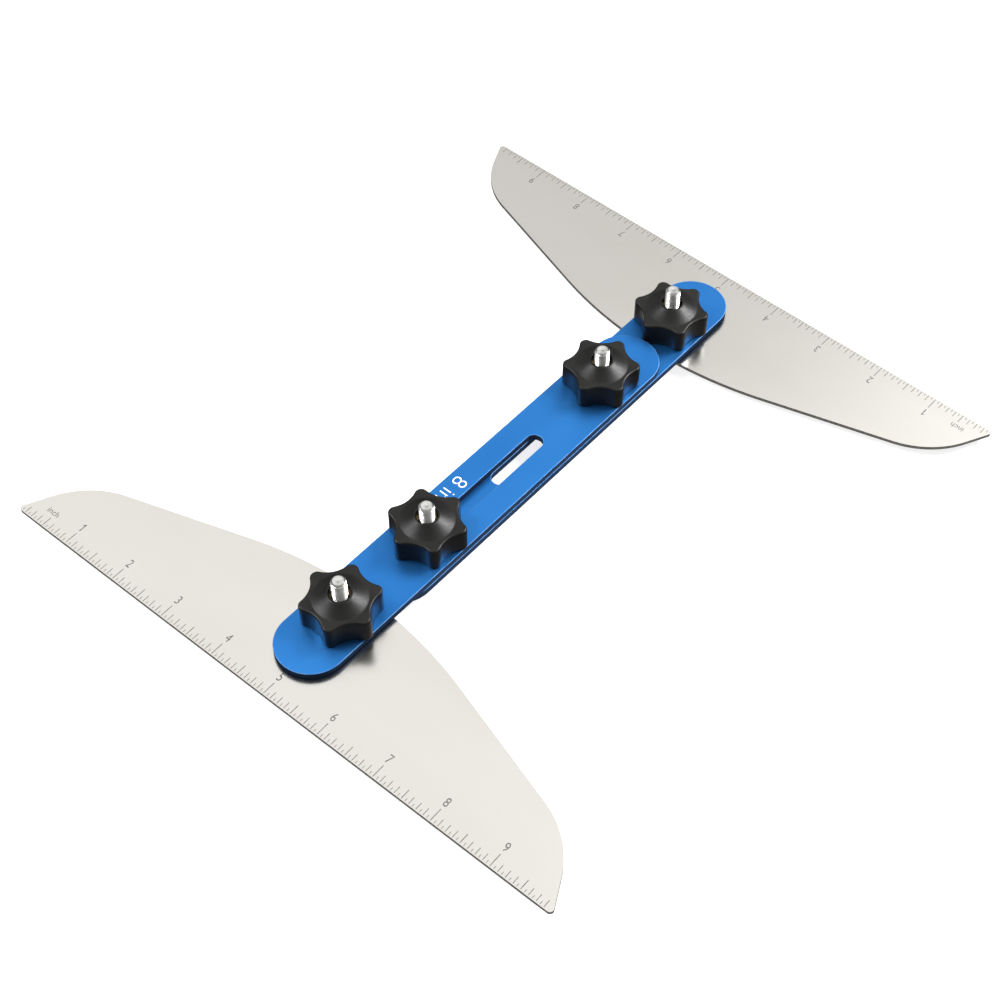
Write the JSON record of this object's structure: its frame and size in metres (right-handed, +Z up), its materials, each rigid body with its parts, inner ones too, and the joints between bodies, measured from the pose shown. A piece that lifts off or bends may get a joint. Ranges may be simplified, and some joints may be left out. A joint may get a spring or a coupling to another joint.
{
  "type": "adjustable layout gauge",
  "caption": "Extending layout gauge: straight-edged steel ruler blades swing at the ends of slotted sliding flat bars, held by star knobs on carriage bolts.",
  "frame": {"origin": "middle of the gauge's footprint, on the plane of its lowest bolt head", "axes": "+Y along the bars from the near blade to the far blade, +Z up out of the bars' tops through the knobs, +X along the blades"},
  "size_m": [0.254, 0.2758, 0.0312],
  "materials": {
    "blade_steel": "satin stainless sheet with etched graduations",
    "bar_anodised": "satin blue anodised, broken edges paler",
    "bolt_zinc": "bright zinc-plated steel",
    "knob_plastic": "moulded black plastic, slight sheen",
    "bush_brass": "turned brass"
  },
  "bodies": {
    "upper_bar": {"upper_bar": "bar_anodised", "far_clamp_bolt": "bolt_zinc"},
    "lower_bar": {"lower_bar": "bar_anodised", "near_clamp_bolt": "bolt_zinc"},
    "near_blade": {"near_blade": "blade_steel", "near_pivot_bolt": "bolt_zinc"},
    "far_blade": {"far_blade": "blade_steel", "far_pivot_bolt": "bolt_zinc"},
    "near_pivot_bush": {"near_pivot_bush": "bush_brass"},
    "near_pivot_knob": {"near_pivot_knob": "knob_plastic"},
    "near_clamp_bush": {"near_clamp_bush": "bush_brass"},
    "near_clamp_knob": {"near_clamp_knob": "knob_plastic"},
    "far_clamp_bush": {"far_clamp_bush": "bush_brass"},
    "far_clamp_knob": {"far_clamp_knob": "knob_plastic"},
    "far_pivot_bush": {"far_pivot_bush": "bush_brass"},
    "far_pivot_knob": {"far_pivot_knob": "knob_plastic"}
  },
  "joints": [
    {"name": "bar_extension", "type": "slide", "parent": "upper_bar", "child": "lower_bar", "axis": [0, 1, 0], "range_m": [0, 0.0585]},
    {"name": "near_blade_swing", "type": "hinge", "parent": "upper_bar", "child": "near_blade", "pos_m": [-0.00068, -0.0951, 0.0081], "axis": [0, 0, 1], "range_deg": [-29, 27]},
    {"name": "far_blade_swing", "type": "hinge", "parent": "lower_bar", "child": "far_blade", "pos_m": [-0.00068, 0.0951, 0.0081], "axis": [0, 0, 1], "range_deg": [-69, 71]},
    {"name": "near_pivot_knob_lift", "type": "slide", "parent": "near_blade", "child": "near_pivot_bush", "axis": [0, 0, 1], "range_m": [0, 0.01]},
    {"name": "near_pivot_knob_turn", "type": "hinge", "parent": "near_pivot_bush", "child": "near_pivot_knob", "pos_m": [-0.00068, -0.0951, 0.0181], "axis": [0, 0, 1], "range_deg": [0, 3600]},
    {"name": "near_clamp_knob_lift", "type": "slide", "parent": "lower_bar", "child": "near_clamp_bush", "axis": [0, 0, 1], "range_m": [0, 0.01]},
    {"name": "near_clamp_knob_turn", "type": "hinge", "parent": "near_clamp_bush", "child": "near_clamp_knob", "pos_m": [-0.00068, -0.0501, 0.0181], "axis": [0, 0, 1], "range_deg": [0, 3600]},
    {"name": "far_clamp_knob_lift", "type": "slide", "parent": "upper_bar", "child": "far_clamp_bush", "axis": [0, 0, 1], "range_m": [0, 0.01]},
    {"name": "far_clamp_knob_turn", "type": "hinge", "parent": "far_clamp_bush", "child": "far_clamp_knob", "pos_m": [-0.00068, 0.0501, 0.0181], "axis": [0, 0, 1], "range_deg": [0, 3600]},
    {"name": "far_pivot_knob_lift", "type": "slide", "parent": "far_blade", "child": "far_pivot_bush", "axis": [0, 0, 1], "range_m": [0, 0.01]},
    {"name": "far_pivot_knob_turn", "type": "hinge", "parent": "far_pivot_bush", "child": "far_pivot_knob", "pos_m": [-0.00068, 0.0951, 0.0181], "axis": [0, 0, 1], "range_deg": [0, 3600]}
  ],
  "couplings": [
    {"joint": "near_pivot_knob_turn", "follows": "near_pivot_knob_lift", "rad_per_m": 6283.2},
    {"joint": "near_clamp_knob_turn", "follows": "near_clamp_knob_lift", "rad_per_m": 6283.2},
    {"joint": "far_clamp_knob_turn", "follows": "far_clamp_knob_lift", "rad_per_m": 6283.2},
    {"joint": "far_pivot_knob_turn", "follows": "far_pivot_knob_lift", "rad_per_m": 6283.2}
  ]
}
